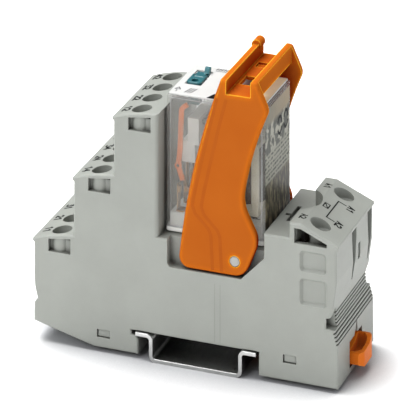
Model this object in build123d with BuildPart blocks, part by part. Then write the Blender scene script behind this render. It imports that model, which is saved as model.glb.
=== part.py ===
"""Plug-in four-pole control relay in a rail-mounted screw-terminal socket.

Millimetres. +X runs along the socket from the contact terminals to the coil terminals, +Y across
its width, +Z away from the mounting panel. The origin is the middle of the rail's back face.
"""
import os
from math import cos, radians, sin

from build123d import *

# ---------------------------------------------------------------- driving dimensions
WIDTH = 31.0                    # socket width across the rail
HALF = WIDTH / 2
WALL = 1.6                      # moulded wall of the socket
INNER = HALF - WALL             # half width inside the socket
EDGE = 0.35                     # edge break on the big mouldings

RAIL_WIDTH = 35.0               # top-hat rail 35 x 7.5 x 1
RAIL_DEPTH = 7.5
RAIL_SHEET = 1.0
RAIL_CHANNEL = 27.0             # over the outside of the hat
RAIL_LENGTH = 32.4
RAIL_BEND = 1.3                 # bend radius at mid sheet

LEFT_END = -47.9
RIGHT_END = 40.7
FOOT_Z = 1.15                   # the feet stay clear of the panel
HOOK_X = -17.0                  # inner face of the foot with the fixed hook
LATCH_FOOT_X = 18.1             # inner face of the foot with the latch

TIER_X = -48.4                  # lip of the lowest terminal tier
TIER_Z = 28.1
TIER_STEP_X = 11.86
TIER_STEP_Z = 18.48
TIER_RUN = 13.2                 # length over which a tier's top rises
TIER_RISE = 2.5
TIER_ARCH = 0.6
TOP_SKIN = 1.4
LIP = 0.5
SCREW_IN = 7.4                  # lip to screw axis
POLES = [(i - 1.5) * WIDTH / 4 for i in range(4)]
FUNNEL_R = 2.8                  # screwdriver hole at the surface
TUBE_R = 3.0                    # guide tube, outside
BORE_R = 2.1                    # guide tube, inside
TUBE_DROP = 6.8                 # surface to the tube's lower end

TOWER_X = -11.2                 # side of the upper tier that faces the relay
BAY_Z = 34.0                    # platform under the relay
BAY_RIGHT = 19.6
LEDGE_Z = 39.9
BLOCK_X = 26.9                  # coil terminal block, side that faces the relay
BLOCK_Z = 44.1
BLOCK_FLAT_X = 30.2             # end of the level part of its top
BLOCK_LIP_X = 41.0
BLOCK_LIP_Z = 39.6
BLOCK_SLOPE = (BLOCK_Z - BLOCK_LIP_Z) / (BLOCK_LIP_X - BLOCK_FLAT_X)
COIL_SCREW_X = 34.0
COIL_SCREW_Y = 10.0
PLATE_HALF = 12.9               # half width of the ribbed end plate

POCKET_X = -8.45                # recess for the lever's arms
POCKET_Z = 26.5
POCKET_DEPTH = 2.9
POCKET_BACK = 11.0              # half width left for the contacts behind the recess

LEVER_Y = 15.2                  # outer face of the lever's arms
LEVER_T = 1.8
PIVOT_X = 11.1
PIVOT_Z = 30.9
PIN_R = 1.4
PIN_CLEAR = 0.07
HANDLE_Z = 76.0                 # floor of the handle
HANDLE_T = 1.0
RIDGE_Z = 80.0
RIDGE_LEFT = (6.9, 8.6)
RIDGE_RIGHT = (15.6, 17.3)
LUG_X = (1.3, 3.3)              # lifting lugs under the relay
LUG_Z = (31.9, 33.9)
LUG_Y = 9.7

RELAY_X0 = -10.6                # relay body
RELAY_X1 = 18.1
RELAY_HALF = 10.95
RELAY_Z0 = 34.25
BASE_FLANGE = 1.2
BASE_TOP = 39.2
COVER_Z1 = 71.6
COVER_T = 0.9
COVER_FIT = 0.1
LABEL_T = 0.4
PIN_Y = [-9.0, -3.0, 3.0, 9.0]
NO_ROW_X = -7.0
NC_ROW_X = -1.0
COM_ROW_X = 6.5
COIL_ROW_X = 14.0
COIL_PIN_Y = 6.0
BLADE_T = 0.5
BLADE_W = 2.2
BLADE_Z0 = 29.4

SPRING_Y = [-7.6, -2.6, 2.6, 7.6]
SPRING_X = -5.5                 # moving springs
SPRING_W = 2.0
TIP_Z = 45.0                    # contact height
TIP_R = 0.9
NC_STRIP_X = -4.25
NO_STRIP_X = -8.05
STRIP_T = 0.3

COIL_X = 9.3
COIL_Z0 = 41.2
COIL_Z1 = 60.8
FLANGE_T = 1.2
CORE_R = 3.0
POLE_Z = 62.6
ARM_PIVOT_X = 1.4
ARM_PIVOT_Z = 63.0
ARM_T = 1.4
ARM_TILT = 4.0                  # the armature stands open by this angle, degrees

BUTTON_X = (-7.8, -3.5)
BUTTON_Y = (-2.9, 1.2)
BUTTON_Z = (71.3, 72.6)
BUTTON_MID = (BUTTON_X[0] + BUTTON_X[1]) / 2
HOLE_Y = -1.3
EAR_Y = 2.8
TAB_AXIS_Y = 2.1
TAB_AXIS_Z = 71.9
OPENING_Y = 6.9
TEST_PIVOT = (-7.6, 51.9)

os.makedirs("parts", exist_ok=True)


def lip(tier):
    """Lip corner of a tier, counted from the lowest."""
    return TIER_X + tier * TIER_STEP_X, TIER_Z + tier * TIER_STEP_Z


def tier_top(tier, along):
    """Height of a tier's arched top at a distance from its lip."""
    share = along / TIER_RUN
    return lip(tier)[1] + TIER_RISE * share + 4 * TIER_ARCH * share * (1 - share)


def tier_end(tier):
    """Distance from a tier's lip to the wall at the far side of its top."""
    wall = TOWER_X if tier == 2 else lip(tier + 1)[0] + LIP
    return wall - lip(tier)[0]


def block_top(x):
    """Height of the coil terminal block's top."""
    return BLOCK_Z - max(0.0, x - BLOCK_FLAT_X) * BLOCK_SLOPE


def chamber(bottom, right_end):
    """Outline of the hollow under the three tiers."""
    points = [(right_end, bottom), (LEFT_END + 2.5, bottom), (LEFT_END + 2.5, 18.0)]
    for tier in range(3):
        x = lip(tier)[0] + LIP + WALL
        points.append((x, tier_top(tier, LIP + WALL) - TOP_SKIN))
        far = TOWER_X - WALL if tier == 2 else lip(tier + 1)[0] + LIP + WALL
        points.append((far, tier_top(tier, tier_end(tier)) - TOP_SKIN))
    return points


def screw_spots():
    """Every terminal screw: x, y and the height of the surface over it."""
    spots = []
    for tier in range(3):
        for y in POLES:
            spots.append((lip(tier)[0] + SCREW_IN, y, tier_top(tier, SCREW_IN)))
    for y in (-COIL_SCREW_Y, COIL_SCREW_Y):
        spots.append((COIL_SCREW_X, y, block_top(COIL_SCREW_X)))
    return spots


def save(builder, name):
    """Label a finished piece and write its file."""
    builder.part.label = name
    export_step(builder.part, "parts/" + name + ".step")


def span(x, y, z, mode=Mode.ADD):
    """A block between two corners, given as three pairs of limits."""
    with Locations(((x[0] + x[1]) / 2, (y[0] + y[1]) / 2, (z[0] + z[1]) / 2)):
        Box(x[1] - x[0], y[1] - y[0], z[1] - z[0], mode=mode)


def both(y0, y1):
    """A pair of limits on each side of the middle plane."""
    return [(-y1, -y0), (y0, y1)]


# ---------------------------------------------------------------- socket housing
UNDERSIDE = [
    (LEFT_END, 5.5), (-30.0, FOOT_Z), (HOOK_X, FOOT_Z), (HOOK_X, 5.4), (HOOK_X - 0.7, 6.2),
    (HOOK_X - 2.0, 6.4), (HOOK_X - 2.0, RAIL_DEPTH), (LATCH_FOOT_X, RAIL_DEPTH),
    (LATCH_FOOT_X, FOOT_Z), (RIGHT_END, FOOT_Z),
]
COIL_END = [
    (RIGHT_END, 13.4), (39.7, 16.8), (37.3, 17.0), (37.3, 19.6), (38.5, 20.0), (39.4, 22.4),
    (40.4, 29.6), (40.4, 38.6), (BLOCK_LIP_X, 38.9), (BLOCK_LIP_X, BLOCK_LIP_Z),
    (BLOCK_FLAT_X, BLOCK_Z),
    (BLOCK_X, BLOCK_Z), (BLOCK_X, LEDGE_Z), (BAY_RIGHT, LEDGE_Z), (BAY_RIGHT, BAY_Z),
    (TOWER_X, BAY_Z), (TOWER_X, tier_top(2, tier_end(2))),
]

with BuildPart() as socket_housing:
    with BuildSketch(Plane.XZ):
        with BuildLine():
            Polyline(*UNDERSIDE, *COIL_END)
            for tier in (2, 1, 0):
                x, z = lip(tier)
                end = tier_end(tier)
                ThreePointArc(
                    (x + end, tier_top(tier, end)), (x + end / 2, tier_top(tier, end / 2)), (x, z)
                )
                foot = tier_top(tier - 1, tier_end(tier - 1)) if tier else 17.5
                Polyline((x, z), (x, z - 0.6), (x + LIP, z - 1.1), (x + LIP, foot))
            ThreePointArc((LEFT_END, 17.5), (LEFT_END + 0.3, 14.5), (LEFT_END + 1.0, 11.8))
            Polyline((LEFT_END + 1.0, 11.8), (LEFT_END, 10.4), (LEFT_END, 5.5))
        make_face()
    extrude(amount=HALF, both=True)
    for side in (0, -1):
        outer = socket_housing.faces().filter_by(Axis.Y).group_by(Axis.Y)[side][0]
        chamfer(outer.outer_wire().edges(), EDGE)

    # hollow inside: terminal chambers, contact space and coil terminal block
    with BuildSketch(Plane.XZ):
        Polygon(
            *chamber(-1.0, RIGHT_END - WALL)[1:],
            (TOWER_X - WALL, BAY_Z - WALL), (POCKET_X - WALL, BAY_Z - WALL),
            (POCKET_X - WALL, POCKET_Z - WALL), (BAY_RIGHT + WALL, POCKET_Z - WALL),
            (BAY_RIGHT + WALL, LEDGE_Z - WALL), (BLOCK_X + WALL, LEDGE_Z - WALL),
            (BLOCK_X + WALL, BLOCK_Z - TOP_SKIN), (BLOCK_FLAT_X, BLOCK_Z - TOP_SKIN),
            (38.7, block_top(38.7) - TOP_SKIN), (38.7, 23.2), (37.2, 21.7), (35.7, 21.2),
            (35.7, 15.6), (RIGHT_END - WALL, 12.2), (RIGHT_END - WALL, -1.0),
            align=None,
        )
    extrude(amount=INNER, both=True, mode=Mode.SUBTRACT)
    span((POCKET_X - WALL, BAY_RIGHT + WALL), (-POCKET_BACK, POCKET_BACK),
         (POCKET_Z - WALL - 0.5, BAY_Z - WALL), mode=Mode.SUBTRACT)

    # walls between the poles
    for y in (-WIDTH / 4, 0.0, WIDTH / 4):
        with BuildSketch(Plane.XZ.offset(-y)):
            Polygon(*chamber(10.5, -15.0)[:-1], (-15.0, tier_top(2, 9.0) - TOP_SKIN), align=None)
        extrude(amount=0.5, both=True)

    # backing behind the side windows of the tiers
    for y0, y1 in both(INNER - 1.1, INNER):
        for tier in range(3):
            x, z = lip(tier)
            span((x + 3.6, x + 12.4), (y0, y1), (z - 3.6, z + 0.4))

    # side windows that show the guide tubes
    for y0, y1 in both(INNER - 0.02, HALF + 1):
        for tier in range(3):
            x, z = lip(tier)
            with BuildSketch(Plane.XZ.offset(-y0)):
                Polygon(
                    (x + 4.8, z - 2.8), (x + 11.4, z - 2.8), (x + 11.4, z + 1.45),
                    (x + 4.8, z + 0.6), align=None,
                )
            extrude(amount=-(y1 - y0), mode=Mode.SUBTRACT)
        with BuildSketch(Plane.XZ.offset(-y0)):
            Polygon(
                (28.3, 38.8), (37.6, 38.8), (37.6, block_top(37.6) - 1.3),
                (BLOCK_FLAT_X, BLOCK_Z - 1.3), (28.3, BLOCK_Z - 1.3), align=None,
            )
        extrude(amount=-(y1 - y0), mode=Mode.SUBTRACT)

    # screwdriver holes with their guide tubes
    for x, y, z in screw_spots():
        top = z + 1.2 if x == COIL_SCREW_X else z - 1.0
        with Locations((x, y, (top + z - TUBE_DROP) / 2)):
            Cylinder(TUBE_R, top - z + TUBE_DROP)
        with Locations((x, y, z - TUBE_DROP / 2)):
            Cylinder(BORE_R, TUBE_DROP + 0.4, mode=Mode.SUBTRACT)
        with Locations((x, y, z - 2.6)):
            Cone(BORE_R, FUNNEL_R, 0.8, mode=Mode.SUBTRACT)
        with Locations((x, y, z)):
            Cylinder(FUNNEL_R, 4.4, mode=Mode.SUBTRACT)
    with BuildSketch(Plane.XZ):
        Polygon(
            (BLOCK_FLAT_X, BLOCK_Z), (BLOCK_LIP_X, BLOCK_LIP_Z), (BLOCK_LIP_X, BLOCK_Z), align=None
        )
    extrude(amount=HALF, both=True, mode=Mode.SUBTRACT)

    # wire entries in the risers, one per contact terminal
    for tier in range(3):
        x, z = lip(tier)
        for y in POLES:
            span((x - 1.0, x + 3.0), (y - 1.8, y + 1.8), (z - 12.4, z - 7.6), Mode.SUBTRACT)

    # finger hollow between the coil screws
    with BuildSketch(Plane.XY.offset(LEDGE_Z - WALL)):
        with Locations((23.5, 0)):
            Circle(9.0)
        with Locations((30.0, 0)):
            Rectangle(5.6, 15.6, mode=Mode.INTERSECT)
    extrude(amount=BLOCK_Z - 1.5 - LEDGE_Z + WALL)
    with Locations((23.5, 0, LEDGE_Z + 3.0)):
        Cylinder(7.4, 6.0, mode=Mode.SUBTRACT)

    # marker slot in the ledge
    span((22.5, 23.7), (-5.5, 4.2), (LEDGE_Z - 1.2, LEDGE_Z + 0.5), Mode.SUBTRACT)
    span((21.0, 22.6), (-2.2, -0.9), (LEDGE_Z - 1.2, LEDGE_Z + 0.5), Mode.SUBTRACT)
    span((23.6, 24.6), (-1.4, 0.6), (LEDGE_Z - 1.2, LEDGE_Z + 0.5), Mode.SUBTRACT)

    # sunk panels with drafted walls on both sides of the coil block
    for height, low in ((5.7, 31.4), (7.3, 22.4)):
        for side in (-1, 1):
            with BuildSketch(Plane.XZ.offset(-side * HALF)):
                with Locations((33.7, low + height / 2)):
                    RectangleRounded(7.7, height, 1.1)
            extrude(amount=side * 1.0, taper=36, mode=Mode.SUBTRACT)

    # ribbed end plate between the side walls, with a gap behind each wall
    with BuildSketch(Plane.XZ):
        Polygon(
            (36.5, 16.8), (39.7, 16.8), (39.3, 20.4), (39.5, 23.4), (39.8, 25.2), (36.5, 25.2),
            align=None,
        )
    extrude(amount=PLATE_HALF, both=True)
    for y0, y1 in both(PLATE_HALF, HALF - 0.6):
        span((34.6, 38.7), (y0, y1), (17.1, 20.0), Mode.SUBTRACT)

    # tapering wire troughs and test slot in the coil end
    for y in (-0.4, 13.0):
        with BuildSketch(Plane.YZ.offset(37.2)):
            Polygon(
                (y - 1.9, 38.2), (y + 1.9, 38.2), (y + 1.9, 36.0), (y + 0.3, 24.4), (y - 0.3, 24.4),
                (y - 1.9, 36.0), align=None,
            )
        extrude(amount=4.0, mode=Mode.SUBTRACT)
    span((36.0, 41.0), (3.1, 4.9), (28.4, 32.8), Mode.SUBTRACT)

    # grip ribs on the slanted step and the end plate of the coil end
    for i in range(4):
        z = 13.2 + 0.95 * i
        with BuildSketch(Plane.XZ):
            with Locations((RIGHT_END - (z - 13.4) * 0.29, z)):
                Rectangle(1.0, 0.42)
        extrude(amount=HALF + 1, both=True, mode=Mode.SUBTRACT)
    for i in range(5):
        z = 17.0 + 0.95 * i
        with BuildSketch(Plane.XZ):
            with Locations((39.7 - (z - 16.8) * 0.09, z)):
                Rectangle(1.0, 0.42)
        extrude(amount=PLATE_HALF, both=True, mode=Mode.SUBTRACT)

    # recesses for the lever's arms, with pin bores and slots for the lifting lugs
    for side in (-1, 1):
        with BuildSketch(Plane.XZ.offset(-side * (HALF - POCKET_DEPTH))) as pocket:
            Polygon(
                (POCKET_X, BAY_Z + 2), (POCKET_X, POCKET_Z), (BAY_RIGHT - 6.6, POCKET_Z),
                (BAY_RIGHT, POCKET_Z + 6.6), (BAY_RIGHT, BAY_Z + 2), align=None,
            )
            fillet(pocket.vertices().group_by(Axis.X)[0].sort_by(Axis.Y)[0], 1.4)
        extrude(amount=-side * 5.0, mode=Mode.SUBTRACT)
        with Locations((PIVOT_X, side * POCKET_BACK, PIVOT_Z)):
            Cylinder(PIN_R, 6.0, rotation=(90, 0, 0), mode=Mode.SUBTRACT)
    for y0, y1 in both(LUG_Y - 0.4, HALF - POCKET_DEPTH + 0.1):
        span((LUG_X[0] - 1.3, LUG_X[1] + 1.3), (y0, y1), (28.6, BAY_Z + 0.5), Mode.SUBTRACT)

    # slots for the relay's blades
    for x in (NO_ROW_X, NC_ROW_X, COM_ROW_X):
        for y in PIN_Y:
            span((x - 1.5, x + 1.5), (y - 0.6, y + 0.6), (BAY_Z - 2, BAY_Z + 1), Mode.SUBTRACT)
    for y in (-COIL_PIN_Y, COIL_PIN_Y):
        span((COIL_ROW_X - 1.5, COIL_ROW_X + 1.5), (y - 0.6, y + 0.6), (BAY_Z - 2, BAY_Z + 1),
             Mode.SUBTRACT)

    # rounded tower edges beside the relay
    for side in (-1, 1):
        with BuildSketch(Plane.XY.offset(BAY_Z)):
            with Locations((TOWER_X, side * HALF)):
                Rectangle(2.4, 2.4)
            with Locations((TOWER_X - 1.2, side * (HALF - 1.2))):
                Circle(1.2, mode=Mode.SUBTRACT)
                Rectangle(2.4, 1.2 * 2 - 2.4 + 0.001, mode=Mode.SUBTRACT)
        extrude(amount=40.0, mode=Mode.SUBTRACT)

    # snap windows for the base cover, and the opening of the foot latch
    for x, z in ((-27.2, 5.1), (27.0, 7.1)):
        for y0, y1 in both(INNER - 0.1, HALF + 1):
            span((x - 1.9, x + 1.9), (y0, y1), (z - 1.1, z + 1.1), Mode.SUBTRACT)
    span((RIGHT_END - WALL - 0.5, RIGHT_END + 0.5), (-5.3, 5.3), (2.5, 9.7), Mode.SUBTRACT)
    with BuildSketch(Plane.YZ.offset(RIGHT_END - WALL - 0.5)):
        Polygon((-1.2, 9.6), (1.6, 9.6), (1.1, 13.4), (0.7, 13.4), align=None)
    extrude(amount=WALL + 1.0, mode=Mode.SUBTRACT)

save(socket_housing, "socket_housing")

# ---------------------------------------------------------------- base cover and rail
with BuildPart() as base_cover:
    with BuildSketch(Plane.XZ):
        Polygon(
            (-45.3, 4.95), *UNDERSIDE[1:9], (38.9, FOOT_Z), (38.9, FOOT_Z + 1.5),
            (LATCH_FOOT_X + 1.6, FOOT_Z + 1.5), (LATCH_FOOT_X + 1.6, RAIL_DEPTH + 1.6),
            (HOOK_X - 3.6, RAIL_DEPTH + 1.6), (HOOK_X - 3.6, FOOT_Z + 1.5),
            (-30.0, FOOT_Z + 1.5), (-45.3, 6.45), align=None,
        )
    extrude(amount=INNER, both=True)
    # window that the latch's nose slides through
    span((LATCH_FOOT_X - 0.5, LATCH_FOOT_X + 2.1), (-5.15, 5.15), (2.65, 6.5), Mode.SUBTRACT)
    # snap hooks that click into the housing's side windows
    for x, z in ((-27.2, 5.1), (27.0, 7.1)):
        for y0, y1 in both(INNER - 1.5, INNER):
            span((x - 1.7, x + 1.7), (y0, y1), (FOOT_Z + 1.0, z + 0.9))
        for y0, y1 in both(INNER, INNER + 1.1):
            span((x - 1.7, x + 1.7), (y0, y1), (z - 0.9, z + 0.9))
save(base_cover, "base_cover")

with BuildPart() as rail_section:
    with BuildSketch(Plane.XZ):
        with BuildLine() as hat:
            web = RAIL_CHANNEL / 2 - RAIL_SHEET / 2
            FilletPolyline(
                (-RAIL_WIDTH / 2, RAIL_DEPTH - 0.5), (-web, RAIL_DEPTH - 0.5), (-web, 0.5),
                (web, 0.5), (web, RAIL_DEPTH - 0.5), (RAIL_WIDTH / 2, RAIL_DEPTH - 0.5),
                radius=RAIL_BEND,
            )
        trace(hat.line, line_width=RAIL_SHEET)
    extrude(amount=RAIL_LENGTH / 2, both=True)
save(rail_section, "rail_section")

# ---------------------------------------------------------------- foot latch
with BuildPart() as foot_latch:
    # flat slider with a ramped nose under the rail's flange
    with BuildSketch(Plane.XZ):
        Polygon(
            (15.9, 5.2), (15.9, 6.3), (39.4, 6.3), (39.4, 2.9), (18.4, 2.9),
            align=None,
        )
    extrude(amount=4.9, both=True)
    # pull tab with a screwdriver pocket
    with BuildSketch(Plane.YZ.offset(38.9)) as tab:
        Polygon(
            (-4.9, 3.5), (-3.2, 2.7), (3.4, 2.7), (5.0, 4.4), (5.0, 8.4), (3.0, 8.6), (1.0, 7.0),
            (-4.9, 6.6), align=None,
        )
        fillet(tab.vertices(), 0.7)
    extrude(amount=5.4)
    with BuildSketch(Plane.XY) as nose:
        Polygon(
            (42.2, -6.0), (44.3, -3.4), (44.3, 3.3), (42.2, 6.0), (46.0, 6.0), (46.0, -6.0),
            align=None,
        )
        fillet(nose.vertices().group_by(Axis.X)[1], 1.6)
    extrude(amount=12.0, mode=Mode.SUBTRACT)
    with BuildSketch(Plane.XY.offset(4.6)) as pocket:
        Polygon((40.2, -3.9), (41.8, -3.9), (43.2, -2.4), (43.2, 2.4), (41.8, 4.0), (40.2, 4.0), align=None)
        fillet(pocket.vertices().group_by(Axis.X)[-1], 0.8)
    extrude(amount=6.0, mode=Mode.SUBTRACT)
    # legs cut free so that the slider springs back
    span((22.0, 36.0), (-3.2, -2.2), (2.0, 7.0), Mode.SUBTRACT)
    span((22.0, 36.0), (2.2, 3.2), (2.0, 7.0), Mode.SUBTRACT)
save(foot_latch, "foot_latch")

# ---------------------------------------------------------------- terminal hardware
HEAD_DROP = 6.9                 # surface to screw head
HEAD_H = 1.8
CAGE_DROP = 9.6                 # surface to the cage's top
CAGE_H = 6.6
TIER_NAMES = ["lower", "middle", "upper", "coil"]
spots = screw_spots()
groups = [spots[0:4], spots[4:8], spots[8:12], spots[12:14]]

for name, group in zip(TIER_NAMES, groups):
    with BuildPart() as screws:
        for x, y, z in group:
            with Locations((x, y, z - HEAD_DROP - HEAD_H / 2)):
                Cylinder(1.95, HEAD_H)
            with Locations((x, y, z - HEAD_DROP - HEAD_H - 2.8)):
                Cylinder(1.45, 5.6)
            with Locations((x, y, z - HEAD_DROP)):
                Box(4.2, 0.7, 1.6, rotation=(0, 0, 35), mode=Mode.SUBTRACT)
            with Locations((x, y, z - HEAD_DROP)):
                Box(0.7, 2.6, 1.4, rotation=(0, 0, 35), mode=Mode.SUBTRACT)
    save(screws, "terminal_screws_" + name)

    with BuildPart() as cages:
        for x, y, z in group:
            middle = (x, y, z - CAGE_DROP - CAGE_H / 2)
            with Locations(middle):
                Box(5.4, 4.4, CAGE_H)
            with Locations((x, y, middle[2] - 0.6)):
                Box(6.0, 3.2, CAGE_H - 2.6, mode=Mode.SUBTRACT)
            with Locations((x, y, z - CAGE_DROP)):
                Cylinder(1.55, 4.0, mode=Mode.SUBTRACT)
        chamfer(cages.edges().filter_by(Axis.Z).group_by(SortBy.LENGTH)[-1], 0.3)
    save(cages, "clamp_cages_" + name)

# contact bars: clamp seat, drop, run below the relay, and riser under one blade row
BAR_T = 0.8
ROWS = [(COM_ROW_X, 11.6), (NC_ROW_X, 15.4), (NO_ROW_X, 19.2)]
for tier in range(3):
    row_x, run_z = ROWS[tier]
    with BuildPart() as bars:
        for (x, y, z), pin_y in zip(groups[tier], PIN_Y):
            seat = z - CAGE_DROP - CAGE_H + 1.2
            drop_x = x + 3.2
            span((x - 2.6, drop_x), (y - 1.5, y + 1.5), (seat - 0.5, seat + 0.5))
            span((drop_x, drop_x + 1.2), (y - 1.5, y + 1.5), (run_z, seat + 0.5))
            span((drop_x, -13.4), (y - 1.5, y + 1.5), (run_z, run_z + BAR_T))
            y_low = min(y - 1.5, pin_y - 1.0)
            y_high = max(y + 1.5, pin_y + 1.0)
            span((-13.4, -12.0), (y_low, y_high), (run_z, run_z + BAR_T))
            span((-12.0, row_x + 1.1), (pin_y - 1.0, pin_y + 1.0), (run_z, run_z + BAR_T))
            span((row_x - 1.1, row_x + 1.1), (pin_y - 0.6, pin_y + 0.6), (run_z, 26.4))
    save(bars, "contact_bars_" + TIER_NAMES[tier])

with BuildPart() as coil_bars:
    for (x, y, z), pin_y in zip(groups[3], (-COIL_PIN_Y, COIL_PIN_Y)):
        seat = z - CAGE_DROP - CAGE_H + 1.2
        y_low = min(y - 1.5, pin_y - 1.0)
        y_high = max(y + 1.5, pin_y + 1.0)
        span((24.4, x + 2.6), (y - 1.5, y + 1.5), (seat - 0.5, seat + 0.5))
        span((23.2, 24.4), (y_low, y_high), (22.0, seat + 0.5))
        span((COIL_ROW_X - 1.1, 23.2), (pin_y - 1.0, pin_y + 1.0), (22.0, 22.8))
        span((COIL_ROW_X - 1.1, COIL_ROW_X + 1.1), (pin_y - 0.6, pin_y + 0.6), (22.0, 26.4))
save(coil_bars, "contact_bars_coil")

pin_spots = [(x, y) for x in (NO_ROW_X, NC_ROW_X, COM_ROW_X) for y in PIN_Y]
pin_spots += [(COIL_ROW_X, -COIL_PIN_Y), (COIL_ROW_X, COIL_PIN_Y)]

with BuildPart() as pin_receptacles:
    for x, y in pin_spots:
        span((x - 1.3, x + 1.3), (y - 0.75, y + 0.75), (26.4, 32.2))
        span((x - 2.0, x + 2.0), (y - BLADE_T / 2 - 0.06, y + BLADE_T / 2 + 0.06), (27.4, 33.0),
             Mode.SUBTRACT)
save(pin_receptacles, "pin_receptacles")

# ---------------------------------------------------------------- retaining lever
with BuildPart() as retaining_lever:
    with BuildSketch(Plane.XZ) as arm:
        with BuildLine():
            Polyline((-5.5, 26.9), (13.8, 26.9), (18.0, 37.2), (13.1, 46.6))
            ThreePointArc((13.1, 46.6), (16.1, 60.6), (20.7, 72.7))
            Polyline((20.7, 72.7), (RIDGE_RIGHT[1], RIDGE_Z), (RIDGE_LEFT[0], RIDGE_Z - 0.4))
            ThreePointArc((RIDGE_LEFT[0], RIDGE_Z - 0.4), (-0.9, 54.5), (-5.5, 26.9))
        make_face()
        for corner, radius in (
            ((-5.5, 26.9), 3.0), ((13.8, 26.9), 4.5), ((18.0, 37.2), 6.0), ((13.1, 46.6), 10.0),
            ((20.7, 72.7), 3.0), ((RIDGE_RIGHT[1], RIDGE_Z), 1.2),
        ):
            fillet(arm.vertices().sort_by_distance(corner)[0], radius)
    extrude(amount=LEVER_Y, both=True)
    for side in (0, -1):
        outer = retaining_lever.faces().filter_by(Axis.Y).sort_by(Axis.Y)[side]
        fillet(outer.edges(), 0.7)
    # space between the two arms
    with BuildSketch(Plane.XZ):
        Polygon((-10, 20), (25, 20), (25, HANDLE_Z - HANDLE_T), (-10, HANDLE_Z - HANDLE_T), align=None)
    extrude(amount=LEVER_Y - LEVER_T, both=True, mode=Mode.SUBTRACT)
    # channel along the top, with the outer flanks below the ridges cut back
    span((RIDGE_LEFT[1], RIDGE_RIGHT[0]), (-20, 20), (HANDLE_Z, 85), Mode.SUBTRACT)
    span((RIDGE_RIGHT[1], 25), (LEVER_T - LEVER_Y, LEVER_Y - LEVER_T), (70, 85), Mode.SUBTRACT)
    # window and recess in the handle's floor
    span((9.6, 14.6), (-7.4, -1.6), (70, 80), Mode.SUBTRACT)
    span((9.6, 14.6), (5.4, 8.6), (HANDLE_Z - 0.5, 80), Mode.SUBTRACT)
    # rounded finger stop at the far end of the left ridge
    with Locations(((RIDGE_LEFT[0] + RIDGE_LEFT[1]) / 2, 13.2, RIDGE_Z - 0.5)):
        Cylinder(1.4, 3.6, rotation=(90, 0, 0))
    # lifting lugs and pivot holes
    for y0, y1 in both(LUG_Y, LEVER_Y - LEVER_T):
        span(LUG_X, (y0, y1), LUG_Z)
    with Locations((PIVOT_X, 0, PIVOT_Z)):
        Cylinder(PIN_R + PIN_CLEAR, 40, rotation=(90, 0, 0), mode=Mode.SUBTRACT)
save(retaining_lever, "retaining_lever")

with BuildPart() as lever_pins:
    for side in (-1, 1):
        with Locations((PIVOT_X, side * (POCKET_BACK + LEVER_Y + 0.15) / 2, PIVOT_Z)):
            Cylinder(PIN_R, LEVER_Y + 0.15 - POCKET_BACK, rotation=(90, 0, 0))
    tips = lever_pins.faces().sort_by(Axis.Y)
    chamfer(tips[0].edges() + tips[-1].edges(), 0.25)
save(lever_pins, "lever_pins")

# ---------------------------------------------------------------- relay base, cover and pins
RELAY_MID = (RELAY_X0 + RELAY_X1) / 2
RELAY_L = RELAY_X1 - RELAY_X0
FIT_IN = COVER_T + COVER_FIT

with BuildPart() as relay_base:
    with BuildSketch(Plane.XY.offset(RELAY_Z0)):
        with Locations((RELAY_MID, 0)):
            RectangleRounded(RELAY_L, 2 * RELAY_HALF, 0.9)
    extrude(amount=BASE_FLANGE)
    with BuildSketch(Plane.XY.offset(RELAY_Z0 + BASE_FLANGE)):
        with Locations((RELAY_MID, 0)):
            Rectangle(RELAY_L - 2 * FIT_IN, 2 * (RELAY_HALF - FIT_IN))
    extrude(amount=BASE_TOP - RELAY_Z0 - BASE_FLANGE)
    chamfer(relay_base.faces().sort_by(Axis.Z)[0].edges(), 0.3)
    for x, y in pin_spots:
        with Locations((x, y, RELAY_Z0 + 2)):
            Box(BLADE_W, BLADE_T, 12, mode=Mode.SUBTRACT)
save(relay_base, "relay_base")

with BuildPart() as relay_pins:
    for x, y in pin_spots:
        with Locations((x, y, (BLADE_Z0 + BASE_TOP) / 2)):
            Box(BLADE_W, BLADE_T, BASE_TOP - BLADE_Z0)
    chamfer(relay_pins.faces().group_by(Axis.Z)[0].edges().filter_by(Axis.Y), 0.5)
save(relay_pins, "relay_pins")

with BuildPart() as relay_cover:
    cover_z0 = RELAY_Z0 + BASE_FLANGE + COVER_FIT
    with BuildSketch(Plane.XY.offset(cover_z0)):
        with Locations((RELAY_MID, 0)):
            RectangleRounded(RELAY_L, 2 * RELAY_HALF, 0.9)
    extrude(amount=COVER_Z1 - cover_z0)
    fillet(relay_cover.faces().sort_by(Axis.Z)[-1].edges(), 0.5)
    with Locations((RELAY_MID, 0, (cover_z0 + COVER_Z1 - COVER_T) / 2)):
        Box(RELAY_L - 2 * COVER_T, 2 * (RELAY_HALF - COVER_T), COVER_Z1 - COVER_T - cover_z0,
            mode=Mode.SUBTRACT)
    span((BUTTON_X[0] - 0.2, BUTTON_X[1] + 0.2), (BUTTON_Y[0] - 0.2, OPENING_Y), (60, 75),
         Mode.SUBTRACT)
save(relay_cover, "relay_cover")

with BuildPart() as label_plate:
    with BuildSketch(Plane.XY.offset(COVER_Z1)):
        with Locations((RELAY_MID, 0)):
            RectangleRounded(RELAY_L - 1.2, 2 * RELAY_HALF - 1.2, 0.5)
        with Locations((BUTTON_MID, (BUTTON_Y[0] + OPENING_Y) / 2)):
            Rectangle(BUTTON_X[1] - BUTTON_X[0] + 0.5, OPENING_Y - BUTTON_Y[0] + 0.3,
                      mode=Mode.SUBTRACT)
    extrude(amount=LABEL_T)
save(label_plate, "label_plate")

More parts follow.
